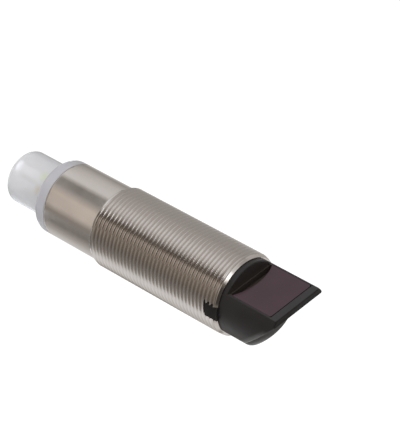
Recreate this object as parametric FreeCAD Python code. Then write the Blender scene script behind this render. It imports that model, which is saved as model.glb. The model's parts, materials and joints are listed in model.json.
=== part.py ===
# Receiver of a through-beam photoelectric sensor: M18 barrel, right-angle head, M12 nose.
# Millimetres. X runs along the barrel towards the head, Z is the way the window faces.
# The origin is on the axis, at the middle of the threaded length.

import math
import os

import FreeCAD
import Part

V = FreeCAD.Vector

# Fits
slip = 0.05             # gap all round a piece that slides into another
pin_slip = 0.02         # gap round a contact pin in its carrier
tube_slip = 0.1         # gap between the bore and what is pushed down it
spare = 1.0             # a cutting block runs this far past what it cuts
touch = 1e-4            # two places closer than this are the same place

# Barrel: nickel-plated brass sleeve
thread_diameter = 18.0
thread_length = 36.0
plain_length = 14.0
plain_step = 0.625      # the plain length lies this far below the thread
barrel_wall = 1.5
rim_chamfer_length = 0.9
rim_chamfer_depth = 0.5
thread_runout = 0.6
slot_width = 3.2
slot_depth = 3.3
slot_rise = 0.9         # slots stand above the axis, so the head goes in one way up only

# Deflector head: black moulding
head_step = 0.75        # the head lies this far below the thread
collar_length = 1.15
window_height = 5.25    # from the axis to the window's face
lip_front = 13.85       # from the barrel's rim
lip_depth = 1.65
lip_height = 1.45
dome_radius = 13.0
dome_lead = 14.99       # from the dome's centre along the barrel to the sloping back
dome_rise = 1.27        # the dome's centre lies this far above the axis
spigot_length = 8.0
lug_inset = 0.2         # lugs stop this far below the thread
back_edge_round = 0.42
top_edge_round = 0.25
dome_blend = 1.5        # where the dome runs out into the sloping back

# Crescent pocket between the collar and the window
pocket_end = 0.85       # from the collar to the arc's ends
pocket_reach = 2.25     # from the collar to the arc's middle
pocket_inset = 0.15     # the pocket is this much narrower than the pane, each side
pocket_depth = 1.6
ledge_width = 0.3
ledge_drop = 0.25

# Window and light path
window_thickness = 1.2
window_edge = 0.41      # moulding left beside the pane
window_groove = 0.2     # open line between the pane and the lip
window_corner = 0.4
pane_seat = 1.4         # ledge under the pane's sides and front
pane_back_seat = 0.9    # ledge under the middle of the pane's hollow edge
back_wall = 1.4         # housing behind the mirror
mirror_thickness = 0.9
tunnel_wall = 1.9       # between the tunnel and the seal's groove
tunnel_roof = 2.9       # height of the tunnel's flat roof above the axis

# Optics
tube_length = 12.0
tube_wall = 1.2
lens_rim = 1.4
lens_flange = 1.05      # flat ring round the lens's crown
lens_crown_radius = 11.0
lens_seat = 0.8         # shoulder that the lens lies on
ring_thickness = 1.2
disc_diameter = 4.8
disc_thickness = 0.2
disc_hole = 1.6
diode_length = 5.0
diode_width = 4.4
diode_height = 1.4
web_thickness = 0.8
web_hole = 3.0
detector_inset = 0.8
detector_thickness = 0.8

# Boards
board_thickness = 1.0
board_bite = 0.4        # the board's edge lies this deep in its rail
board_tail_inset = 0.6  # from the tail's edge to the end cap's hollow
board_tail_gap = 1.6    # from the contact carrier to the board's end
carrier_wall = 1.0
carrier_rail = 1.4      # height of the rail above the board
row_margin = 2.0        # from the board's ends to the outermost components

# Components: length along the barrel, width across it, height off the board
can_size = (9.0, 8.4, 2.6)
can_wall = 0.3
chip_size = (5.0, 4.0, 1.0)
chip_leads = 4
chip_pitch = 1.2
transistor_size = (2.9, 1.6, 1.1)
transistor_leads = 2
transistor_pitch = 1.9
transistor_y = 2.2
regulator_size = (4.4, 2.5, 1.5)
regulator_leads = 3
regulator_pitch = 1.5
regulator_y = -2.4
lead_width = 0.45
capacitor_size = (2.0, 1.25, 1.0)
capacitor_count = 6
capacitor_y = 2.6
resistor_size = (1.6, 0.8, 0.5)
resistor_count = 8
resistor_y = -2.4
led_size = (2.0, 1.2, 0.6)
led_lens_radius = 0.5
led_lens_length = 1.2
led_gap = 0.5           # from the contact pins' pads to the indicators
led_inset = 0.3         # from the yellow indicator to the board's edge

# End cap: milky moulding with the M12 nose
ring_length = 3.2
ring_edge_round = 1.35
nose_diameter = 12.0
nose_length = 11.3
nose_wall = 1.8
nose_rim_round = 1.3
nose_root_round = 1.0
cap_spigot_length = 6.5
cap_front_wall = 0.6    # from the ring's front face to the end of the hollow
socket_depth = 8.0
socket_rim_round = 0.3
key_width = 1.2
key_height = 0.7
key_setback = 1.0

# Contacts
pin_diameter = 1.0
pin_inset = 1.37        # from the socket's wall to a pin's middle
pin_setback = 1.5       # tips stand this far inside the nose's rim
pin_tip_length = 0.5
pin_tip_radius = 0.25
pin_straight = 0.5      # from the contact carrier to the crank
pin_tail_width = 0.7
pin_tail_thickness = 0.5
pin_pad = 2.2           # length that lies on the board
carrier_step = 0.2      # the contact carrier is this much smaller than the socket
carrier_flange_step = 0.3
carrier_flange = 1.0

# Seals
seal_section = 1.4
seal_groove = 1.9
head_seal_back = 5.6    # from the rim
cap_seal_in = 2.4       # from the ring's front face

# Radii
thread_radius = thread_diameter / 2
plain_radius = thread_radius - plain_step
bore_radius = thread_radius - barrel_wall
spigot_radius = bore_radius - slip
seal_floor = bore_radius - seal_section
tube_radius = bore_radius - tube_slip
head_radius = thread_radius - head_step
lug_radius = thread_radius - lug_inset
tunnel_radius = seal_floor - tunnel_wall
lens_seat_radius = tube_radius - tube_wall
lens_radius = lens_seat_radius - slip
lens_crown_base = lens_radius - lens_flange
detector_radius = tube_radius - detector_inset
cradle_radius = tube_radius - carrier_wall
nose_radius = nose_diameter / 2
socket_radius = nose_radius - nose_wall
pin_radius = pin_diameter / 2
pin_circle_radius = socket_radius - pin_inset
insert_radius = socket_radius - carrier_step
flange_radius = insert_radius + carrier_flange_step
hollow_radius = flange_radius + slip

# Places along the axis
rim = thread_length / 2
plain_front = -thread_length / 2
barrel_rear = plain_front - plain_length
tube_front = rim - spigot_length
tube_rear = tube_front - tube_length
lens_front = tube_front - ring_thickness
lens_back = lens_front - lens_rim
web_back = tube_rear + diode_height
disc_back = web_back + web_thickness
disc_front = disc_back + disc_thickness
board_front = tube_rear - detector_thickness
ring_rear = barrel_rear - ring_length
nose_rear = ring_rear - nose_length
cap_front = barrel_rear + cap_spigot_length
hollow_end = barrel_rear - cap_front_wall
socket_floor = nose_rear + socket_depth
flange_front = hollow_end + carrier_flange
board_rear = flange_front + board_tail_gap

# Places in the head
collar_wall = rim + collar_length
arc_end = collar_wall + pocket_end
arc_middle = collar_wall + pocket_reach
lip_back = rim + lip_front - lip_depth
window_front = lip_back - window_groove
window_ledge = window_height - window_thickness
window_half_width = math.sqrt(head_radius ** 2 - window_height ** 2) - window_edge
pocket_half_width = window_half_width - pocket_inset
shaft_half_width = window_half_width - pane_seat
shaft_back = arc_middle + pane_back_seat
shaft_front = window_front - pane_seat
back_slope = rim + lip_front - (window_height - lip_height)     # x - z on the sloping back
dome_middle = back_slope + dome_rise - dome_lead
mirror_seat = back_slope - back_wall * math.sqrt(2)             # x - z on the mirror's seat
mirror_face = mirror_seat - mirror_thickness * math.sqrt(2)

# Places on the board
board_top = board_thickness / 2
board_half_width = cradle_radius + board_bite
tail_half_width = hollow_radius - board_tail_inset
row_front = board_front - row_margin
row_rear = cap_front + row_margin
can_x = row_front - can_size[0] / 2
power_x = (row_front - can_size[0] + cap_front) / 2             # between the can and the end cap
led_x = board_rear + pin_pad + led_gap + led_size[0] / 2
yellow_y = led_inset + led_size[1] / 2 - tail_half_width


def rod(x0, x1, radius, y=0.0, z=0.0):
    return Part.makeCylinder(radius, x1 - x0, V(x0, y, z), V(1, 0, 0))


def block(x0, x1, y0, y1, z0, z1):
    return Part.makeBox(x1 - x0, y1 - y0, z1 - z0, V(x0, y0, z0))


def side_prism(points, half_width):
    # a side outline of (x, z) points, as thick as twice half_width across the barrel
    corners = [V(x, -half_width, z) for x, z in points]
    face = Part.Face(Part.makePolygon(corners + corners[:1]))
    return face.extrude(V(0, 2 * half_width, 0))


def turned(points):
    # a half outline of (x, radius) points turned about the axis
    corners = [V(x, 0, r) for x, r in points]
    face = Part.Face(Part.makePolygon(corners + corners[:1]))
    return face.revolve(V(0, 0, 0), V(1, 0, 0), 360)


def near(a, b):
    return abs(a - b) < touch


def radius_at(p):
    return math.hypot(p.y, p.z)


def lies_on(edge, test):
    # true where the edge's ends, middle and quarter points all pass the test
    first, last = edge.ParameterRange
    spots = [edge.valueAt(first + (last - first) * share) for share in (0.0, 0.25, 0.5, 0.75, 1.0)]
    return all(test(p) for p in spots)


def rounded(solid, radius, chosen):
    return solid.makeFillet(radius, [e for e in solid.Edges if chosen(e)])


def circle_at(x, radius):
    # picks the edge that runs round the axis at this place and radius
    def test(p):
        return near(p.x, x) and near(radius_at(p), radius)

    def chosen(e):
        return lies_on(e, test)
    return chosen


def threaded_barrel():
    sleeve = turned([
        (barrel_rear, bore_radius),
        (barrel_rear, plain_radius),
        (plain_front, plain_radius),
        (plain_front + thread_runout, thread_radius),
        (rim - rim_chamfer_length, thread_radius),
        (rim, thread_radius - rim_chamfer_depth),
        (rim, bore_radius),
    ])
    reach = thread_radius + spare
    slot = block(rim - slot_depth, rim + spare, -reach, reach,
                 slot_rise - slot_width / 2, slot_rise + slot_width / 2)
    return sleeve.cut(slot)


def pocket_plan():
    # the crescent between the collar's wall and the arc, in the window's plane
    left = V(arc_end, -pocket_half_width, window_height)
    middle = V(arc_middle, 0, window_height)
    right = V(arc_end, pocket_half_width, window_height)
    back_left = V(collar_wall, -pocket_half_width, window_height)
    back_right = V(collar_wall, pocket_half_width, window_height)
    edges = [
        Part.Arc(left, middle, right).toShape(),
        Part.LineSegment(right, back_right).toShape(),
        Part.LineSegment(back_right, back_left).toShape(),
        Part.LineSegment(back_left, left).toShape(),
    ]
    return Part.Face(Part.Wire(edges))


def head_form():
    # collar, sloping back with its dome, and lip, all inside one round of the head's diameter
    high = head_radius + spare
    end = rim + lip_front + spare
    outline = [
        (tube_front, -high),
        (back_slope - high, -high),
        (rim + lip_front, window_height - lip_height),
        (rim + lip_front, window_height),
        (collar_wall, window_height),
        (collar_wall, high),
        (tube_front, high),
    ]
    ball = Part.makeSphere(dome_radius, V(dome_middle, 0, dome_rise))
    lower_half = block(rim, end, -high, high, -high, 0)
    wedge = side_prism(outline, high).fuse(ball.common(lower_half))
    return wedge.common(rod(rim, end, head_radius)).removeSplitter()


def softened(head):
    # the dome runs out in a hollow blend, then the back, the lip's ends and the top edges are rounded
    def outer(p):
        return near(radius_at(p), head_radius)

    def sloping(p):
        return near(p.x - p.z, back_slope)

    def at_front(p):
        return near(p.x, rim + lip_front)

    def at_wall(p):
        return near(p.x, collar_wall)

    def at_top(p):
        return near(p.z, window_height)

    def ahead(p):
        return outer(p) and p.x > collar_wall + touch

    def crease(e):
        return lies_on(e, sloping) and not lies_on(e, outer) and not lies_on(e, at_front)

    def back_edge(e):
        return lies_on(e, ahead) and not lies_on(e, at_top)

    def top_edge(e):
        return lies_on(e, outer) and (lies_on(e, at_top) or lies_on(e, at_wall))

    head = rounded(head, dome_blend, crease)
    head = rounded(head, back_edge_round, back_edge)
    return rounded(head, top_edge_round, top_edge)


def light_path():
    # the tunnel from the lens, the shaft up to the pane, and the mirror's seat at its foot
    shaft = side_prism([
        (shaft_back, shaft_back - mirror_seat),
        (shaft_front, shaft_front - mirror_seat),
        (shaft_front, window_ledge),
        (shaft_back, window_ledge),
    ], shaft_half_width)
    reach = tunnel_radius + spare
    slope = side_prism([
        (tube_front, -reach),
        (mirror_face - reach, -reach),
        (mirror_face + tunnel_roof, tunnel_roof),
        (tube_front, tunnel_roof),
    ], reach)
    tunnel = rod(tube_front, rim + lip_front, tunnel_radius).common(slope)
    return shaft.fuse(tunnel)


def seal_room(x):
    # the groove for a seal in a spigot, as a ring to cut away
    ring = rod(x - seal_groove / 2, x + seal_groove / 2, bore_radius)
    return ring.cut(rod(x - seal_groove, x + seal_groove, seal_floor))


def deflector_head():
    head = softened(head_form())
    half_width = window_half_width + slip
    rebate = block(arc_end - slip, lip_back, -half_width, half_width, window_ledge, window_height + spare)
    crescent = pocket_plan()
    shelf = crescent.extrude(V(0, 0, -ledge_drop))
    well = crescent.extrude(V(0, 0, -pocket_depth))
    well = well.cut(block(rim, collar_wall + ledge_width, -head_radius, head_radius, 0, head_radius))
    spigot = rod(tube_front, rim, spigot_radius)
    lugs = rod(rim - slot_depth + slip, rim, lug_radius)
    lug_half = slot_width / 2 - slip
    lugs = lugs.common(block(tube_front, rim, -thread_radius, thread_radius,
                             slot_rise - lug_half, slot_rise + lug_half))
    head = head.fuse([spigot, lugs]).removeSplitter()
    return head.cut([rebate, shelf, well, light_path(), seal_room(rim - head_seal_back)])


def front_window():
    # the pane's plan: straight sides and front, hollowed at the back by the pocket's arc
    pane = block(arc_end, window_front, -window_half_width, window_half_width, window_ledge, window_height)

    def corner(p):
        return near(p.x, window_front) and near(abs(p.y), window_half_width)

    def front_corner(e):
        return lies_on(e, corner)

    pane = rounded(pane, window_corner, front_corner)
    return pane.cut(pocket_plan().extrude(V(0, 0, -window_thickness)))


def deflecting_mirror():
    # a flat glass lying on the sloping seat, as long as the shaft lets it be
    lift = mirror_thickness / math.sqrt(2)
    low = shaft_back + slip
    high = shaft_front - slip
    return side_prism([
        (low + lift, low + lift - mirror_seat),
        (high, high - mirror_seat),
        (high - lift, high + lift - mirror_seat),
        (low, low + 2 * lift - mirror_seat),
    ], shaft_half_width - slip)


def seal_ring(x):
    return Part.makeTorus(bore_radius - seal_section / 2, seal_section / 2, V(x, 0, 0), V(1, 0, 0))


def lens_tube():
    tube = turned([
        (tube_front, lens_seat_radius),
        (tube_front, tube_radius),
        (tube_rear, tube_radius),
        (tube_rear, web_hole / 2),
        (disc_back, web_hole / 2),
        (disc_back, disc_diameter / 2 + slip),
        (disc_front, disc_diameter / 2 + slip),
        (lens_back, lens_seat_radius - lens_seat),
        (lens_back, lens_seat_radius),
    ])
    half_width = diode_width / 2 + slip
    half_length = diode_length / 2 + slip
    return tube.cut(block(tube_rear, web_back, -half_width, half_width, -half_length, half_length))


def collecting_lens():
    depth = math.sqrt(lens_crown_radius ** 2 - lens_crown_base ** 2)
    ball = Part.makeSphere(lens_crown_radius, V(lens_front - depth, 0, 0))
    crown = ball.common(rod(lens_front, lens_front + lens_crown_radius, lens_crown_base))
    return rod(lens_back, lens_front, lens_radius).fuse(crown).removeSplitter()


def lens_retaining_ring():
    ring = rod(lens_front, tube_front, lens_radius)
    return ring.cut(rod(lens_front, tube_front, lens_crown_base + slip))


def aperture_disc():
    disc = rod(disc_back, disc_front, disc_diameter / 2)
    return disc.cut(rod(disc_back, disc_front, disc_hole / 2))


def photodiode():
    # a flat package with a clear dome that stands in the web's hole, short of the disc
    package = block(tube_rear, web_back, -diode_width / 2, diode_width / 2,
                    -diode_length / 2, diode_length / 2)
    dome_size = web_hole / 2 - slip
    dome = Part.makeSphere(dome_size, V(web_back, 0, 0))
    dome = dome.common(rod(web_back, disc_back - slip, dome_size))
    return package.fuse(dome).removeSplitter()


def detector_board():
    return rod(board_front, tube_rear, detector_radius)


def main_board():
    wide = block(cap_front, board_front, -board_half_width, board_half_width, -board_top, board_top)
    tail = block(board_rear, cap_front, -tail_half_width, tail_half_width, -board_top, board_top)
    return wide.fuse(tail).removeSplitter()


def board_carrier():
    # a cradle under the board, with a rail on each side that takes the board's edge
    cradle = rod(cap_front, board_front, tube_radius)
    cradle = cradle.cut(rod(cap_front, board_front, cradle_radius))
    above = block(cap_front, board_front, -tube_radius, tube_radius, board_top + carrier_rail, tube_radius)
    groove = block(cap_front, board_front, -board_half_width - slip, board_half_width + slip,
                   -board_top, board_top + slip)
    return cradle.cut([above, groove])


def on_board(x, y, size, side=1):
    # a component's body on the board's top (side 1) or underside (side -1)
    length, width, height = size
    z0 = board_top if side > 0 else -board_top - height
    return block(x - length / 2, x + length / 2, y - width / 2, y + width / 2, z0, z0 + height)


def shield_can():
    length, width, height = can_size
    can = on_board(can_x, 0, can_size)

    def at_top(p):
        return near(p.z, board_top + height)

    def top_edge(e):
        return lies_on(e, at_top)

    can = rounded(can, can_wall, top_edge)
    room = (length - 2 * can_wall, width - 2 * can_wall, height - can_wall)
    return can.cut(on_board(can_x, 0, room))


def leaded_package(x, y, size, count, pitch):
    # a moulded package with a row of bent leads along each side
    width, height = size[1:]
    leads = []
    for i in range(count):
        at = x + (i - (count - 1) / 2) * pitch
        for way in (-1, 1):
            foot = (lead_width, lead_width, lead_width / 2)
            riser = (lead_width, lead_width, height / 2)
            leads.append(on_board(at, y + way * (width / 2 + lead_width), foot))
            leads.append(on_board(at, y + way * (width + lead_width) / 2, riser))
    return on_board(x, y, size).fuse(leads).removeSplitter()


def underside_row(count, size, y):
    # equal bodies spread evenly along the board's underside
    step = (row_front - row_rear) / (count - 1)
    return Part.makeCompound([on_board(row_rear + i * step, y, size, -1) for i in range(count)])


def indicator(y):
    # a small package with a rounded lens lying along its top
    base = on_board(led_x, y, led_size)
    top = board_top + led_size[2]
    lens = rod(led_x - led_lens_length / 2, led_x + led_lens_length / 2, led_lens_radius, y, top)
    lens = lens.common(block(led_x - led_lens_length, led_x + led_lens_length, y - led_lens_radius,
                             y + led_lens_radius, top, top + led_lens_radius))
    return base.fuse(lens).removeSplitter()


def end_cap():
    body = turned([
        (cap_front, 0),
        (cap_front, spigot_radius),
        (barrel_rear, spigot_radius),
        (barrel_rear, plain_radius),
        (ring_rear, plain_radius),
        (ring_rear, nose_radius),
        (nose_rear, nose_radius),
        (nose_rear, 0),
    ])
    # the ring's edge and the nose's root share the step between them in the ratio of their radii
    step = plain_radius - nose_radius
    share = min(1.0, step / (ring_edge_round + nose_root_round + slip / 2))
    body = rounded(body, ring_edge_round * share, circle_at(ring_rear, plain_radius))
    body = rounded(body, nose_root_round * share, circle_at(ring_rear, nose_radius))
    rim_share = min(1.0, nose_wall / (nose_rim_round + socket_rim_round + slip))
    body = rounded(body, nose_rim_round * rim_share, circle_at(nose_rear, nose_radius))
    hollow = rod(hollow_end, cap_front, hollow_radius)
    socket = rod(nose_rear, socket_floor, socket_radius)
    key = block(nose_rear + key_setback, socket_floor, -key_width / 2, key_width / 2,
                socket_radius - key_height, socket_radius)
    through = rod(socket_floor, hollow_end, insert_radius + slip)
    body = body.cut([hollow, socket.cut(key), through, seal_room(barrel_rear + cap_seal_in)])
    return rounded(body, socket_rim_round * rim_share, circle_at(nose_rear, socket_radius))


def pin_places():
    half = pin_circle_radius / math.sqrt(2)
    return [(-half, half), (half, half), (half, -half), (-half, -half)]


def contact_carrier():
    insert = rod(socket_floor, hollow_end, insert_radius)
    insert = insert.fuse(rod(hollow_end, flange_front, flange_radius)).removeSplitter()
    hole = pin_radius + pin_slip
    return insert.cut([rod(socket_floor, flange_front, hole, y, z) for y, z in pin_places()])


def contact_pin(y, z):
    # a tapered tip, round through the carrier, with a flattened tail cranked to the board and along its pad
    tip = nose_rear + pin_setback
    bend = flange_front + pin_straight
    height = abs(z)
    half = pin_tail_thickness / 2
    outline = [
        (flange_front, height + half),
        (bend, height + half),
        (board_rear, board_top + pin_tail_thickness),
        (board_rear + pin_pad, board_top + pin_tail_thickness),
        (board_rear + pin_pad, board_top),
        (board_rear, board_top),
        (bend, height - half),
        (flange_front, height - half),
    ]
    side = math.copysign(1, z)
    tail = side_prism([(x, side * h) for x, h in outline], pin_tail_width / 2)
    tail.translate(V(0, y, 0))
    shank = tip + pin_tip_length
    point = Part.makeCone(pin_tip_radius, pin_radius, pin_tip_length, V(tip, y, z), V(1, 0, 0))
    return rod(shank, bend, pin_radius, y, z).fuse([point, tail]).removeSplitter()


pieces = {
    "threaded_barrel": threaded_barrel(),
    "deflector_head": deflector_head(),
    "front_window": front_window(),
    "deflecting_mirror": deflecting_mirror(),
    "head_seal": seal_ring(rim - head_seal_back),
    "lens_tube": lens_tube(),
    "collecting_lens": collecting_lens(),
    "lens_retaining_ring": lens_retaining_ring(),
    "aperture_disc": aperture_disc(),
    "photodiode": photodiode(),
    "detector_board": detector_board(),
    "main_board": main_board(),
    "board_carrier": board_carrier(),
    "shield_can": shield_can(),
    "amplifier_chip": leaded_package(can_x, 0, chip_size, chip_leads, chip_pitch),
    "output_transistor": leaded_package(power_x, transistor_y, transistor_size,
                                        transistor_leads, transistor_pitch),
    "voltage_regulator": leaded_package(power_x, regulator_y, regulator_size,
                                        regulator_leads, regulator_pitch),
    "capacitors": underside_row(capacitor_count, capacitor_size, capacitor_y),
    "resistors": underside_row(resistor_count, resistor_size, resistor_y),
    "green_led": indicator(0),
    "yellow_led": indicator(yellow_y),
    "end_cap": end_cap(),
    "rear_seal": seal_ring(barrel_rear + cap_seal_in),
    "contact_carrier": contact_carrier(),
}
for number, (pin_y, pin_z) in enumerate(pin_places(), 1):
    pieces["contact_pin_%d" % number] = contact_pin(pin_y, pin_z)

os.makedirs("parts", exist_ok=True)
for name, shape in pieces.items():
    shape.exportStep("parts/%s.step" % name)
    print(name, "solids", len(shape.Solids), "volume %.2f" % shape.Volume, "valid", shape.isValid())
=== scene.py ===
import json

import bmesh
import bpy
import numpy as np
from mathutils import Matrix


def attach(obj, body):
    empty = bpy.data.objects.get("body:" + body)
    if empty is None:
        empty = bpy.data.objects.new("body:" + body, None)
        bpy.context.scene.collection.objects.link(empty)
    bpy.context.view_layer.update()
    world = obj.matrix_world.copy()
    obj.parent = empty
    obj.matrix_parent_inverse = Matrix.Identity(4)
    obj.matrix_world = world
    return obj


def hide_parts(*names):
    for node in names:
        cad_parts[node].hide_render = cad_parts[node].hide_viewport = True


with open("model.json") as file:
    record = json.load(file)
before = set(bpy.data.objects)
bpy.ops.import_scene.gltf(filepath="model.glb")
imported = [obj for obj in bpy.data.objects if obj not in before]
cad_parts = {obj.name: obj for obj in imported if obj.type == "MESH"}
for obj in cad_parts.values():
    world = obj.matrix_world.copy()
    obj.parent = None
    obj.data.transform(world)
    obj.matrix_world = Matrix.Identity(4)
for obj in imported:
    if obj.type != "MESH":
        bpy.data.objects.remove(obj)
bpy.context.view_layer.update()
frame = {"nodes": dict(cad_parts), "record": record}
nodes = frame["nodes"]
mm = 0.001
print("frame loaded with", len(nodes), "nodes")


# a mesh object at the origin, from points in millimetres
def newPiece(name, points, faces):
    mesh = bpy.data.meshes.new(name)
    mesh.from_pydata((np.asarray(points) * mm).tolist(), [], np.asarray(faces).tolist())
    piece = bpy.data.objects.new(name, mesh)
    bpy.context.scene.collection.objects.link(piece)
    return piece


# quads of a grid of rows by columns, numbered row after row
def gridFaces(rows, columns):
    corner = np.arange(rows * columns).reshape(rows, columns)
    quads = [corner[:-1, :-1], corner[:-1, 1:], corner[1:, 1:], corner[1:, :-1]]
    return np.stack(quads, -1).reshape(-1, 4)


# 0 below low, 1 above high, and an S-curve between
def ease(value, low, high):
    t = np.clip((value - low) / (high - low), 0, 1)
    return t * t * (3 - 2 * t)


# millimetres, with x along the axis from the middle of the thread
barrel = dict(
    rear=-32.0, shoulder=-18.0, front=18.0,
    plainRadius=8.375, crestRadius=8.994, boreRadius=7.5, around=144,
    pitch=1.0, firstCrest=-0.35, threadDepth=0.61, spareTurns=2,
    runout=0.5, threadEnd=17.0, smoothFrom=17.4,
    # one pitch of the 60 degree thread as (phase, depth): 0 on the crest, 1 at the root,
    # both edges eased
    profile=[(-0.05, 0.07), (-0.015, 0.0), (0.015, 0.0), (0.05, 0.07), (0.22, 0.535), (0.365, 0.94),
             (0.41, 1.0), (0.5, 1.0), (0.59, 1.0), (0.635, 0.94), (0.78, 0.535)],
    chamferLength=0.9, chamferDepth=0.5,
    rearRound=0.2, roundFrom=15, roundSteps=7, edgeLoop=0.1,
    slotFloor=14.7, slotPast=1.0, slotInner=6.0, slotOuter=10.0, slotLow=-0.7, slotHigh=2.5,
    joinWithin=1e-7, sharpOver=50,    # metres, degrees
)


# radius = the smaller of crest and chamfer cone, less the thread's depth, which fades towards
# the rim; behind the run-out it eases down to the plain length
def barrelRadius(x, depth):
    b = barrel
    past = x - b["front"] + b["chamferLength"]
    cone = b["crestRadius"] - b["chamferDepth"] * past / b["chamferLength"]
    crest = np.minimum(b["crestRadius"], cone)
    cut = b["threadDepth"] * depth * (1 - ease(x, b["threadEnd"], b["smoothFrom"]))
    rise = ease(x, b["shoulder"], b["shoulder"] + b["runout"])
    return b["plainRadius"] + (crest - cut - b["plainRadius"]) * rise


# rows follow the helix: x = row + pitch * turn, so the last column joins the first one turn
# further on; rows past either end are pressed onto its circle
def threadShell():
    b = barrel
    phase, depth = np.array(b["profile"]).T
    firstTurn = np.floor(b["shoulder"] / b["pitch"]) - b["spareTurns"]
    lastTurn = np.ceil(b["front"] / b["pitch"]) + b["spareTurns"]
    turns = np.arange(firstTurn, lastTurn + 1)
    row = b["firstCrest"] + ((turns[:, None] + phase) * b["pitch"]).ravel()
    rowDepth = np.tile(depth, len(turns))
    turn = np.arange(b["around"] + 1) / b["around"]
    x = np.clip(row[:, None] + b["pitch"] * turn, b["shoulder"], b["front"])
    radius = barrelRadius(x, rowDepth[:, None])
    angle = 2 * np.pi * turn
    points = np.stack([x, radius * np.cos(angle), radius * np.sin(angle)], -1)
    return points.reshape(-1, 3), gridFaces(len(row), len(turn))


# a half outline of (x, radius) corners turned about the barrel's axis
def turnedShell(outline, around):
    angle = 2 * np.pi * np.arange(around + 1) / around
    x, radius = np.asarray(outline).T
    points = np.stack([
        np.repeat(x[:, None], len(angle), 1),
        radius[:, None] * np.cos(angle),
        radius[:, None] * np.sin(angle),
    ], -1)
    return points.reshape(-1, 3), gridFaces(len(x), len(angle))


# two blocks, one each side, that stand where the head's lugs enter the wall:
# corner = low + (high - low) * 0 or 1 each way
def slotCutter():
    b = barrel
    low = np.array([b["slotFloor"], b["slotInner"], b["slotLow"]])
    high = np.array([b["front"] + b["slotPast"], b["slotOuter"], b["slotHigh"]])
    corner = np.array([[0, 0, 0], [1, 0, 0], [1, 1, 0], [0, 1, 0],
                       [0, 0, 1], [1, 0, 1], [1, 1, 1], [0, 1, 1]])
    side = np.array([[0, 3, 2, 1], [4, 5, 6, 7], [0, 1, 5, 4],
                     [1, 2, 6, 5], [2, 3, 7, 6], [3, 0, 4, 7]])
    points = low + (high - low) * corner
    other = points * [1, -1, 1]
    faces = np.concatenate([side, side[:, ::-1] + len(points)])
    return newPiece("slotCutter", np.concatenate([points, other]), faces)


# joins points that lie on each other, and turns every face outwards
def closeSeams(piece):
    work = bmesh.new()
    work.from_mesh(piece.data)
    bmesh.ops.remove_doubles(work, verts=work.verts, dist=barrel["joinWithin"])
    bmesh.ops.recalc_face_normals(work, faces=work.faces)
    work.to_mesh(piece.data)
    work.free()


# sleeve = the thread's shell and the turned shell of rim, bore and plain length, less the two
# slots; its rear edge has x = rear + round * (1 - cosine), radius = plain - round * (1 - sine)
def makeBarrel():
    b = barrel
    thread, threadFaces = threadShell()
    turnIn = np.radians(np.linspace(b["roundFrom"], 90, b["roundSteps"]))
    roundX = b["rear"] + b["rearRound"] * (1 - np.cos(turnIn))
    roundRadius = b["plainRadius"] - b["rearRound"] * (1 - np.sin(turnIn))
    rest, restFaces = turnedShell([
        (b["front"], b["crestRadius"] - b["chamferDepth"]),
        (b["front"], b["boreRadius"]),
        (b["rear"], b["boreRadius"]),
        *zip(roundX, roundRadius),
        (b["rear"] + b["rearRound"] + b["edgeLoop"], b["plainRadius"]),
        (b["shoulder"] - b["edgeLoop"], b["plainRadius"]),
        (b["shoulder"], b["plainRadius"]),
    ], b["around"])
    piece = newPiece("barrelSleeve", np.concatenate([thread, rest]),
                     np.concatenate([threadFaces, restFaces + len(thread)]))
    closeSeams(piece)
    cutter = slotCutter()
    cut = piece.modifiers.new("slots", "BOOLEAN")
    cut.object = cutter
    cut.solver = "EXACT"
    graph = bpy.context.evaluated_depsgraph_get()
    ready = bpy.data.meshes.new_from_object(piece.evaluated_get(graph))
    piece.modifiers.clear()
    piece.data = ready
    bpy.data.objects.remove(cutter)
    ready.shade_smooth()
    ready.set_sharp_from_angle(angle=np.radians(b["sharpOver"]))
    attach(piece, "root")
    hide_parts("threaded_barrel")
    return piece


sleeve = makeBarrel()
print("barrel:", len(sleeve.data.polygons), "faces")


# a material whose constant sockets are set on the shader itself
def newFinish(name, fixed):
    finish = bpy.data.materials.new(name)
    finish.use_nodes = True
    shader = finish.node_tree.nodes["Principled BSDF"]
    for socket, value in fixed.items():
        shader.inputs[socket].default_value = value
    return finish, finish.node_tree, shader


# one node; an input given as a socket is linked, any other is set
def addNode(tree, kind, inputs, **settings):
    node = tree.nodes.new("ShaderNode" + kind)
    for key, value in settings.items():
        setattr(node, key, value)
    for key, value in inputs.items():
        if isinstance(value, bpy.types.NodeSocket):
            tree.links.new(value, node.inputs[key])
        else:
            node.inputs[key].default_value = value
    return node


# place in the object's own frame, in metres
def objectPlace(tree):
    return addNode(tree, "TexCoord", {}).outputs["Object"]


# x, y and z of a place
def splitPlace(tree, place):
    return addNode(tree, "SeparateXYZ", {0: place}).outputs


# distance from the barrel's axis = length of (0, y, z)
def axisDistance(tree, split):
    flat = addNode(tree, "CombineXYZ", {1: split[1], 2: split[2]}).outputs[0]
    return addNode(tree, "VectorMath", {0: flat}, operation="LENGTH").outputs["Value"]


# distance from a spot in the object
def spotDistance(tree, place, spot):
    return addNode(tree, "VectorMath", {0: place, 1: spot}, operation="DISTANCE").outputs["Value"]


# one operation on two numbers, and on its result and each further one
def sums(tree, operation, first, *others):
    for other in others:
        first = addNode(tree, "Math", {0: first, 1: other}, operation=operation).outputs[0]
    return first


# value moved from one range to another, held at its ends
def remap(tree, value, low, high, toLow=0.0, toHigh=1.0):
    inputs = {"Value": value, "From Min": low, "From Max": high, "To Min": toLow, "To Max": toHigh}
    return addNode(tree, "MapRange", inputs).outputs["Result"]


# noise from 0 to 1, with scale waves to the metre
def cloudy(tree, place, scale, detail=4.0):
    inputs = {"Vector": place, "Scale": scale, "Detail": detail}
    return addNode(tree, "TexNoise", inputs).outputs["Fac"]


# place times a scale for each axis
def stretched(tree, place, scale):
    return addNode(tree, "Mapping", {"Vector": place, "Scale": scale}).outputs["Vector"]


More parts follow.
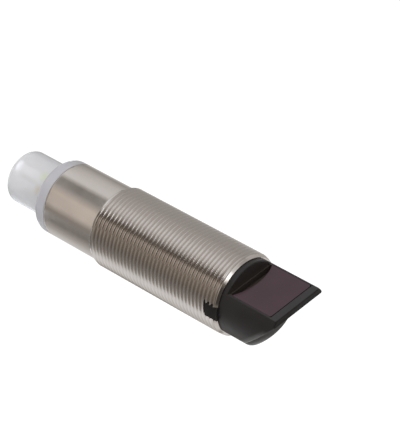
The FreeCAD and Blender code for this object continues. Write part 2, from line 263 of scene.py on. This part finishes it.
# first colour * (1 - share) + second colour * share
def tint(tree, share, first, second):
    return addNode(tree, "Mix", {0: share, 6: first, 7: second}, data_type="RGBA").outputs[2]


# normal bent by a height, depth in metres
def relief(tree, height, strength, depth):
    inputs = {"Height": height, "Strength": strength, "Distance": depth}
    return addNode(tree, "Bump", inputs).outputs["Normal"]


# links the shader's sockets, with _ for the spaces in their names
def feed(tree, shader, **sockets):
    for name, value in sockets.items():
        tree.links.new(value, shader.inputs[name.replace("_", " ")])


# places and depths of the materials are in metres; a pair of places is where a mask is 0
# and where it is 1
nickel = dict(
    bright=(0.615, 0.578, 0.555, 1), dull=(0.50, 0.462, 0.435, 1),
    cloudScale=260.0, cloudShare=0.12,
    # the thread's roots take part of the dull colour as painted shade
    threadX=(-0.0176, -0.0171), rootRadius=(0.0089, 0.0084), rootShare=0.5,
    rimX=(0.0170, 0.0172), rimShare=0.75,
    rootRough=0.6, roughFrom=(0.3, 1.2), roughTo=(0.10, 0.2),
    ringScale=(7000.0, 150.0, 150.0), ringDetail=2.0, ringStrength=0.06, ringDepth=0.00001,
)


# plated metal: share of the dull colour = painted shade in the thread's roots + faint clouds
# + a darker rim chamfer, over rings left by the turning tool
def nickelPlate():
    n = nickel
    finish, tree, shader = newFinish("nickelPlate", {"Metallic": 1.0})
    place = objectPlace(tree)
    split = splitPlace(tree, place)
    # painted shade: the dull colour laid into the thread's roots, which are also made rougher
    rootShadeMask = sums(tree, "MULTIPLY", remap(tree, split[0], *n["threadX"]),
                remap(tree, axisDistance(tree, split), *n["rootRadius"]))
    clouds = cloudy(tree, place, n["cloudScale"])
    share = sums(tree, "ADD", sums(tree, "MULTIPLY", rootShadeMask, n["rootShare"]),
                 sums(tree, "MULTIPLY", clouds, n["cloudShare"]),
                 remap(tree, split[0], *n["rimX"], 0.0, n["rimShare"]))
    dulled = sums(tree, "ADD", clouds, sums(tree, "MULTIPLY", rootShadeMask, n["rootRough"]))
    rings = cloudy(tree, stretched(tree, place, n["ringScale"]), 1.0, n["ringDetail"])
    feed(tree, shader, Base_Color=tint(tree, share, n["bright"], n["dull"]),
         Roughness=remap(tree, dulled, *n["roughFrom"], *n["roughTo"]),
         Normal=relief(tree, rings, n["ringStrength"], n["ringDepth"]))
    return finish


moulding = dict(
    fixed={"IOR": 1.5, "Specular IOR Level": 0.25},
    dark=(0.0118, 0.0104, 0.0102, 1), pale=(0.0178, 0.0162, 0.016, 1),
    # the paler colour on the next line for the lip's top is a painted highlight
    dull=(0.0075, 0.0068, 0.006, 1), lipTopHighlight=(0.0215, 0.0203, 0.0207, 1),
    # on the next line: a painted highlight colour for the back's outer edge, and a painted light
    # colour for the pocket
    edgeHighlight=(0.075, 0.074, 0.073, 1), pocketLight=(0.037, 0.0305, 0.026, 1),
    sheenScale=300.0, roughFrom=(0.3, 0.7), roughTo=(0.36, 0.5), dullRough=0.3,
    grainScale=9000.0, grainDetail=2.0, grainStrength=0.12, grainDepth=0.00002,
    lugX=(0.0181, 0.0177), lipFaceX=(0.03165, 0.03178),
    lipTopX=(0.0301, 0.0303), lipTopZ=(0.00515, 0.00522),
    pocketFrontX=(0.0216, 0.0214), pocketRearX=(0.01910, 0.01914), pocketRadius=(0.0081, 0.0078),
    # how far up the pocket the painted light reaches, and its share at the top and at the foot
    pocketLightZ=(0.0062, 0.0049), pocketLightShare=(0.5, 1.0),
    backSlope=0.02805, slopeCosine=0.7071, domeMiddle=(0.01433, 0.0, 0.00127), domeRadius=0.013,
    # where the painted highlight along the back's outer edge lies
    edgeHighlightDepth=(0.0011, 0.0004), edgeHighlightRadius=(0.0078, 0.0081), edgeHighlightZ=(0.0029, 0.0009),
)


# black moulding: fine spark-eroded grain, slow changes in sheen, dull lugs and lip face, a
# painted highlight on the lip's top, painted light in the pocket, stronger towards its foot, and
# a painted highlight band along the back's outer edge: depth under the back = the larger of the
# depth under its 45 degree slope and the depth inside its dome
def blackMoulding():
    m = moulding
    finish, tree, shader = newFinish("blackMoulding", m["fixed"])
    place = objectPlace(tree)
    split = splitPlace(tree, place)
    x, z, radius = split[0], split[2], axisDistance(tree, split)
    grain = cloudy(tree, place, m["grainScale"], m["grainDetail"])
    sheen = cloudy(tree, place, m["sheenScale"])
    onDull = sums(tree, "ADD", remap(tree, x, *m["lugX"]), remap(tree, x, *m["lipFaceX"]))
    # the lip's top made paler: a painted highlight
    onTop = sums(tree, "MULTIPLY", remap(tree, x, *m["lipTopX"]), remap(tree, z, *m["lipTopZ"]))
    # the pocket made lighter, more towards its foot: painted light
    inPocket = sums(tree, "MULTIPLY", remap(tree, x, *m["pocketRearX"]),
                    remap(tree, x, *m["pocketFrontX"]), remap(tree, radius, *m["pocketRadius"]),
                    remap(tree, z, *m["pocketLightZ"], *m["pocketLightShare"]))
    underSlope = sums(tree, "SUBTRACT", m["backSlope"], sums(tree, "SUBTRACT", x, z))
    underSlope = sums(tree, "MULTIPLY", underSlope, m["slopeCosine"])
    inDome = sums(tree, "SUBTRACT", m["domeRadius"], spotDistance(tree, place, m["domeMiddle"]))
    underBack = sums(tree, "MAXIMUM", underSlope, inDome)
    # a pale band along the back's outer edge: a painted highlight
    edgeHighlightMask = sums(tree, "MULTIPLY", remap(tree, underBack, *m["edgeHighlightDepth"]),
                  remap(tree, radius, *m["edgeHighlightRadius"]), remap(tree, z, *m["edgeHighlightZ"]))
    colour = tint(tree, sheen, m["dark"], m["pale"])
    # the lip's top and the back's outer edge get painted highlights, and the pocket gets painted
    # light
    for share, other in ((onDull, "dull"), (onTop, "lipTopHighlight"), (edgeHighlightMask, "edgeHighlight"), (inPocket, "pocketLight")):
        colour = tint(tree, share, colour, m[other])
    rough = remap(tree, sheen, *m["roughFrom"], *m["roughTo"])
    feed(tree, shader, Base_Color=colour,
         Roughness=sums(tree, "ADD", rough, sums(tree, "MULTIPLY", onDull, m["dullRough"])),
         Normal=relief(tree, grain, m["grainStrength"], m["grainDepth"]))
    return finish


filterPane = dict(
    fixed={"Roughness": 0.12, "IOR": 1.55, "Specular IOR Level": 0.09},
    deep=(0.0455, 0.0285, 0.034, 1), light=(0.0545, 0.0335, 0.0405, 1), flowScale=220.0,
    waveScale=500.0, waveDetail=1.0, waveStrength=0.05, waveDepth=0.00005,
)


# dark red filter: smooth, with a slow waviness from moulding
def windowFilter():
    f = filterPane
    finish, tree, shader = newFinish("windowFilter", f["fixed"])
    place = objectPlace(tree)
    flow = cloudy(tree, place, f["flowScale"])
    waves = cloudy(tree, place, f["waveScale"], f["waveDetail"])
    feed(tree, shader, Base_Color=tint(tree, flow, f["deep"], f["light"]),
         Normal=relief(tree, waves, f["waveStrength"], f["waveDepth"]))
    return finish


milky = dict(
    fixed={"Roughness": 0.24, "IOR": 1.45, "Transmission Weight": 0.36, "Subsurface Weight": 0.25,
           "Subsurface Radius": (1.0, 1.0, 1.0), "Subsurface Scale": 0.0012},
    body=(0.70, 0.70, 0.715, 1), cool=(0.63, 0.63, 0.655, 1), cloudScale=240.0,
    ring=(0.53, 0.522, 0.552, 1), ringX=(-0.0366, -0.0352),
    green=dict(spot=(-0.0370, -0.0025, 0.0057), colour=(0.60, 0.68, 0.34, 1)),
    yellow=dict(spot=(-0.0368, -0.0051, 0.0036), colour=(0.64, 0.55, 0.36, 1)),
    glowSize=0.0016, glowShare=0.6,
    fineScale=2500.0, fineDetail=2.0, fineStrength=0.04, fineDepth=0.00003,
)


# milky moulding that lets light through: soft clouding, a denser ring, and two faint glows
# over the indicators, each falling from its share at its spot to 0 at its size
def milkyMoulding():
    finish, tree, shader = newFinish("milkyMoulding", milky["fixed"])
    place = objectPlace(tree)
    body = tint(tree, cloudy(tree, place, milky["cloudScale"]), milky["body"], milky["cool"])
    onRing = remap(tree, splitPlace(tree, place)[0], *milky["ringX"])
    body = tint(tree, onRing, body, milky["ring"])
    for glow in (milky["green"], milky["yellow"]):
        away = spotDistance(tree, place, glow["spot"])
        share = remap(tree, away, 0.0, milky["glowSize"], milky["glowShare"], 0.0)
        body = tint(tree, share, body, glow["colour"])
    fine = cloudy(tree, place, milky["fineScale"], milky["fineDetail"])
    feed(tree, shader, Base_Color=body,
         Normal=relief(tree, fine, milky["fineStrength"], milky["fineDepth"]))
    return finish


inner = dict(cloudScale=700.0, roughFrom=(0.3, 0.7), roughSpread=0.06,
             grainDetail=2.0, grainStrength=0.15, grainDepth=0.00002)
metal = {"Metallic": 1.0}
glass = {"Transmission Weight": 0.9, "IOR": 1.5}

# inner finishes by slot: name, two close colours, roughness, scale of the grain, constant sockets
innerFinishes = {
    "mirror_coat": ("mirrorCoat", (0.9, 0.9, 0.92, 1), (0.86, 0.87, 0.9, 1), 0.08, 900.0, metal),
    "seal_rubber": ("sealRubber", (0.018, 0.018, 0.018, 1), (0.03, 0.03, 0.03, 1), 0.7, 6000.0, {}),
    "tube_black": ("tubeBlack", (0.012, 0.012, 0.012, 1), (0.02, 0.02, 0.02, 1), 0.75, 7000.0, {}),
    "lens_clear": ("lensClear", (0.92, 0.95, 0.96, 1), (0.88, 0.92, 0.94, 1), 0.08, 900.0, glass),
    "sheet_steel": ("sheetSteel", (0.62, 0.62, 0.6, 1), (0.52, 0.52, 0.5, 1), 0.35, 5000.0, metal),
    "package_black": ("packageBlack", (0.025, 0.025, 0.027, 1), (0.04, 0.04, 0.042, 1),
                      0.55, 9000.0, {}),
    "board_green": ("boardGreen", (0.02, 0.13, 0.055, 1), (0.04, 0.19, 0.085, 1), 0.3, 4000.0, {}),
    "carrier_grey": ("carrierGrey", (0.1, 0.1, 0.105, 1), (0.14, 0.14, 0.145, 1), 0.5, 6000.0, {}),
    "ceramic_tan": ("ceramicTan", (0.5, 0.36, 0.2, 1), (0.42, 0.3, 0.17, 1), 0.45, 8000.0, {}),
    "led_green": ("ledGreen", (0.2, 0.75, 0.3, 1), (0.26, 0.8, 0.36, 1), 0.2, 3000.0, {}),
    "led_yellow": ("ledYellow", (0.9, 0.72, 0.15, 1), (0.92, 0.76, 0.22, 1), 0.2, 3000.0, {}),
    "contact_gold": ("contactGold", (0.86, 0.62, 0.26, 1), (0.76, 0.53, 0.2, 1),
                     0.25, 5000.0, metal),
}


# an inner piece's finish: two close colours in clouds over a fine grain, rougher where
# the second shows
def innerFinish(name, first, second, rough, grain, fixed):
    finish, tree, shader = newFinish(name, fixed)
    place = objectPlace(tree)
    clouds = cloudy(tree, place, inner["cloudScale"])
    roughTo = rough - inner["roughSpread"], rough + inner["roughSpread"]
    fine = cloudy(tree, place, grain, inner["grainDetail"])
    feed(tree, shader, Base_Color=tint(tree, clouds, first, second),
         Roughness=remap(tree, clouds, *inner["roughFrom"], *roughTo),
         Normal=relief(tree, fine, inner["grainStrength"], inner["grainDepth"]))
    return finish


finishes = {
    "nickel_plate": nickelPlate(),
    "black_moulding": blackMoulding(),
    "window_filter": windowFilter(),
    "milky_moulding": milkyMoulding(),
}
finishes.update({slot: innerFinish(*row) for slot, row in innerFinishes.items()})
slotOf = {part["node"]: part["material_slot"] for part in frame["record"]["subparts"]}
for name, node in nodes.items():
    node.material_slots[0].material = finishes[slotOf[name]]
sleeve.data.materials.clear()
sleeve.data.materials.append(finishes["nickel_plate"])
print("finishes:", len(finishes))


# the studio's lengths are in millimetres
studio = dict(
    floorHeight=-90.0, floorHalf=6000.0,
    floor={"Base Color": (0.95, 0.95, 0.95, 1), "Roughness": 1.0, "Specular IOR Level": 0.0},
    fill=0.56, white=1.0,
    sunEnergy=1.75, sunAngle=60.0, sunFrom=(-0.35, -0.3, 0.88),
    keyEnergy=0.4, keySize=(110, 200), keyMiddle=(150, -25, 370),
)


# points = middle + u * across + v * along, for u and v from -1 to 1
def flatCard(name, middle, across, along):
    u, v = np.array(np.meshgrid([-1, 1], [-1, 1]))[..., None]
    points = np.array(middle) + u * np.array(across) + v * np.array(along)
    card = newPiece(name, points.reshape(-1, 3), gridFaces(2, 2))
    uv = card.data.uv_layers.new(name="cardUv")
    uv.data.foreach_set("uv", np.array([0, 0, 1, 0, 1, 1, 0, 1], float))
    return card


# one flat pale card
def makeFloor():
    half = studio["floorHalf"]
    floor = flatCard("floor", (0, 0, studio["floorHeight"]), (half, 0, 0), (0, half, 0))
    floor.data.materials.append(newFinish("paleFloor", studio["floor"])[0])


# an empty material for a card or wall that only reflections see
def reflectedFinish(piece):
    finish = bpy.data.materials.new(piece.name)
    finish.use_nodes = True
    finish.node_tree.nodes.clear()
    piece.data.materials.append(finish)
    for ray in ("camera", "diffuse", "transmission", "volume_scatter", "shadow"):
        setattr(piece, "visible_" + ray, False)
    return finish


# plain cards with faded edges: soft is the part of the width and of the height that fades
flags = {
    "farFlag": dict(middle=(260, 262, 80), across=(365, 0, 0), along=(0, 0, 210),
                    shade=(0.46, 0.445, 0.43, 1), soft=(0.15, 0.25)),
    "rearFlag": dict(middle=(-530, -20, 160), across=(0, 520, 0), along=(0, 0, 246),
                     shade=(0.3, 0.28, 0.25, 1), soft=(0.08, 0.08)),
    "keyGleam": dict(middle=(23.9, -10.9, 25.4), across=(4.4, 0, -1.2), along=(0, 7.4, 2.9),
                     shade=(5.0, 5.0, 5.0, 1), soft=(0.5, 0.42)),
    "backLift": dict(middle=(16.5, 2, -25), across=(8, 0, 0), along=(0, 9, 0),
                     shade=(1.7, 1.7, 1.7, 1), soft=(0.3, 0.3)),
    "rimShade": dict(middle=(24.9, -22.8, 9.6), across=(4, -1.6, 0.3), along=(1.0, 4.6, 10.6),
                     shade=(0.07, 0.065, 0.06, 1), soft=(0.2, 0.15)),
    "capGleam": dict(middle=(-46.1, -3.3, 7.0), across=(0.8, 0, 0), along=(0, 2.4, 0.9),
                     shade=(8.5, 8.7, 9.6, 1), soft=(0.45, 0.35)),
}


# cover = the distance from the nearer edge over its soft part, across times along, with
# distance = 0.5 - the size of (u - 0.5)
def makeFlag(name, middle, across, along, shade, soft):
    tree = reflectedFinish(flatCard(name, middle, across, along)).node_tree
    split = splitPlace(tree, addNode(tree, "UVMap", {}, uv_map="cardUv").outputs[0])
    cover = 1.0
    for i in (0, 1):
        fromMiddle = sums(tree, "ABSOLUTE", sums(tree, "SUBTRACT", split[i], 0.5), 0.0)
        edge = sums(tree, "SUBTRACT", 0.5, fromMiddle)
        cover = sums(tree, "MULTIPLY", cover, remap(tree, edge, 0.0, soft[i]))
    clear = addNode(tree, "BsdfTransparent", {}).outputs[0]
    glow = addNode(tree, "Emission", {"Color": shade, "Strength": 1.0}).outputs[0]
    mixed = addNode(tree, "MixShader", {0: cover, 1: clear, 2: glow}).outputs[0]
    addNode(tree, "OutputMaterial", {"Surface": mixed})


# a tent of walls round the barrel: its angles are degrees from the window's side towards -Y,
# and its warm band is (angle, share)
tent = dict(
    radius=250.0, overFloor=4.0, steps=241, leastDrop=1e-6,
    darkWarmth=(0, 0.08, 0.18), bandWarmth=(0, 0.07, 0.14),
    warmBand=[(20, 0), (36, 1), (76, 1), (104, 0)],
)

# greys that the metal mirrors, as (angle, tone), each wall between two lines of (shift, slope)
tentWalls = {
    "plainWall": dict(start=(-17, -0.68), end=(-34, -0.8), tones=[
        (-140, 0.74), (-97, 0.38), (-60, 0.74), (-37, 0.83), (-20, 0.85), (-4, 0.26), (14, 0.3),
        (40, 0.8), (75, 0.79), (94, 0.35), (125, 0.27), (167, 0.7), (220, 0.72)]),
    "threadWall": dict(start=(20, 0.15), end=(-17, -0.68), tones=[
        (-140, 0.5), (-61, 0.74), (-37, 0.91), (3, 1.08), (11, 0.96), (31, 0.2), (38, 0.18),
        (46, 0.86), (71, 0.38), (95, 0.26), (131, 0.58), (145, 0.98), (161, 0.98), (172, 0.48),
        (191, 0.2), (220, 0.3)]),
    "overWall": dict(start=(20, 3.0), end=(20, 0.15), tones=[
        (-60, 0.5), (-25, 0.62), (-13, 0.9), (11, 1.2), (31, 0.14), (40, 0.12), (47, 0.33),
        (132, 0.26)]),
    "noseWall": dict(start=(-34, -0.8), end=(-48, -0.845), tones=[
        (-140, 0.3), (-60, 0.05), (-28, 1.2), (30, 0.9), (50, 0.05), (92, 0.05), (112, 1.4),
        (220, 1.5)]),
    "edgeWall": dict(start=(-48, -0.845), end=(-30, -2.0), tones=[
        (-140, 0.62), (104, 0.56), (119, 0.06), (190, 0.06), (205, 0.5), (220, 0.5)]),
}

# flat strips in the same greys: (millimetres along one axis, tone)
stripWalls = {
    "frontWall": dict(place=(420, -223, 0), axis=2, side=(0, 245, 0), warmth=1.0, tones=[
        (-86, 0.25), (5, 0.4), (30, 0.1), (130, 0.1)]),
    "sideWall": dict(place=(420, 0, 67), axis=1, side=(0, 0, 153), warmth=0.0, tones=[
        (22, 0.42), (42, 0.8), (80, 0.88), (150, 0.86), (262, 0.5)]),
    "floorWall": dict(place=(220, 0, -87.5), axis=1, side=(190, 0, 0), warmth=0.0, tones=[
        (-230, 0.18), (-150, 0.22), (-90, 0.38), (-74, 0.5), (-48, 0.96), (-36, 1.0), (-5, 0.6),
        (50, 0.6)]),
}


# a wall that only reflections see, each of its points in its own grey:
# colour = tone * (1 - warmth of dark tones * (1 - tone) - warmth of the band * its share)
def makeWall(name, points, tones, share):
    wall = newPiece(name, points.reshape(-1, 3), gridFaces(*points.shape[:2]))
    tone, share = tones.reshape(-1, 1), share.reshape(-1, 1)
    dark, band = np.array(tent["darkWarmth"]), np.array(tent["bandWarmth"])
    grey = tone * (1 - (1 - tone) * dark - share * band)
    grey = np.concatenate([grey, np.ones_like(tone)], 1)
    wall.data.attributes.new("grey", "FLOAT_COLOR", "POINT").data.foreach_set("color", grey.ravel())
    finish = reflectedFinish(wall)
    finish.cycles.emission_sampling = "NONE"
    tree = finish.node_tree
    shown = addNode(tree, "Attribute", {}, attribute_name="grey").outputs["Color"]
    glow = addNode(tree, "Emission", {"Color": shown}).outputs[0]
    addNode(tree, "OutputMaterial", {"Surface": glow})


# distance = the tent's radius, flattened just above the floor; the wall runs lengthwise between
# two lines x = shift + slope * distance
def tentWall(name, start, end, tones):
    stops, tones = np.array(tones).T
    degrees = np.linspace(stops[0], stops[-1], tent["steps"])
    angle = np.radians(degrees)
    under = -studio["floorHeight"] - tent["overFloor"]
    distance = np.minimum(tent["radius"], under / np.maximum(-np.cos(angle), tent["leastDrop"]))
    y, z = -distance * np.sin(angle), distance * np.cos(angle)
    rows = [np.stack([shift + slope * distance, y, z], -1) for shift, slope in (start, end)]
    tone = np.interp(degrees, stops, tones)
    share = np.interp(degrees, *zip(*tent["warmBand"]))
    makeWall(name, np.stack(rows), np.stack([tone, tone]), np.stack([share, share]))


# one row for each stop: place = the stop along one axis, and half the width to each side
def stripWall(name, place, axis, side, warmth, tones):
    stops, tones = np.array(tones).T
    middle = np.tile(np.array(place, float), (len(stops), 1))
    middle[:, axis] = stops
    points = np.stack([middle - side, middle + side], 1)
    makeWall(name, points, np.repeat(tones[:, None], 2, 1), np.full((len(stops), 2), warmth))


# white to the camera, to reflections and through glass; a plain fill for everything else
def makeWorld():
    world = bpy.data.worlds.new("studio")
    bpy.context.scene.world = world
    world.use_nodes = True
    tree = world.node_tree
    path = addNode(tree, "LightPath", {}).outputs
    seen = sums(tree, "MAXIMUM", path["Is Camera Ray"], path["Is Glossy Ray"],
                path["Is Transmission Ray"])
    back = tree.nodes["Background"]
    back.inputs["Color"].default_value = (1, 1, 1, 1)
    strength = remap(tree, seen, 0.0, 1.0, studio["fill"], studio["white"])
    tree.links.new(strength, back.inputs["Strength"])


# a lamp that stays out of reflections and shines from the given direction:
# its z = that direction, its x = the frame's Y crossed with z, its y = z crossed with x
def addLamp(name, kind, energy, direction):
    lamp = bpy.data.lights.new(name, kind)
    lamp.energy = energy
    holder = bpy.data.objects.new(name, lamp)
    toward = np.array(direction, float) / np.linalg.norm(direction)
    across = np.cross((0, 1, 0), toward)
    across /= np.linalg.norm(across)
    axes = np.column_stack([across, np.cross(toward, across), toward])
    holder.matrix_world = Matrix(axes.tolist()).to_4x4()
    holder.visible_glossy = False
    bpy.context.scene.collection.objects.link(holder)
    return holder


# a wide sun, so the floor is as bright far off as it is near
def makeSun():
    sun = addLamp("softSun", "SUN", studio["sunEnergy"], studio["sunFrom"])
    sun.data.angle = np.radians(studio["sunAngle"])


# a small soft box above the head, turned towards the barrel
def makeKey():
    key = addLamp("keyBox", "AREA", studio["keyEnergy"], studio["keyMiddle"])
    key.data.shape = "RECTANGLE"
    key.data.size, key.data.size_y = np.array(studio["keySize"]) * mm
    key.location = np.array(studio["keyMiddle"]) * mm


# millimetres
view = dict(
    place=(233.68, -217.80, 260.88),
    right=(0.72764, 0.68270, -0.06691), down=(0.38527, -0.48743, -0.78357),
    lens=165.8, sensor=36, clipStart=10, clipEnd=50000,
)


# the camera's axes are right, up and back, in the object's own frame
def makeCamera():
    lens = bpy.data.cameras.new("photoView")
    lens.lens = view["lens"]
    lens.sensor_width = view["sensor"]
    lens.clip_start = view["clipStart"] * mm
    lens.clip_end = view["clipEnd"] * mm
    camera = bpy.data.objects.new("photoView", lens)
    right, up = np.array(view["right"]), -np.array(view["down"])
    axes = np.column_stack([right, up, np.cross(right, up)])
    stand = Matrix(axes.tolist()).to_quaternion().to_matrix().to_4x4()
    stand.translation = np.array(view["place"]) * mm
    camera.matrix_world = stand
    bpy.context.scene.collection.objects.link(camera)
    bpy.context.scene.camera = camera


makeFloor()
for name, flag in flags.items():
    makeFlag(name, **flag)
for name, wall in tentWalls.items():
    tentWall(name, **wall)
for name, wall in stripWalls.items():
    stripWall(name, **wall)
makeWorld()
makeSun()
makeKey()
makeCamera()
bpy.context.scene.view_settings.view_transform = "Standard"
print("studio ready")
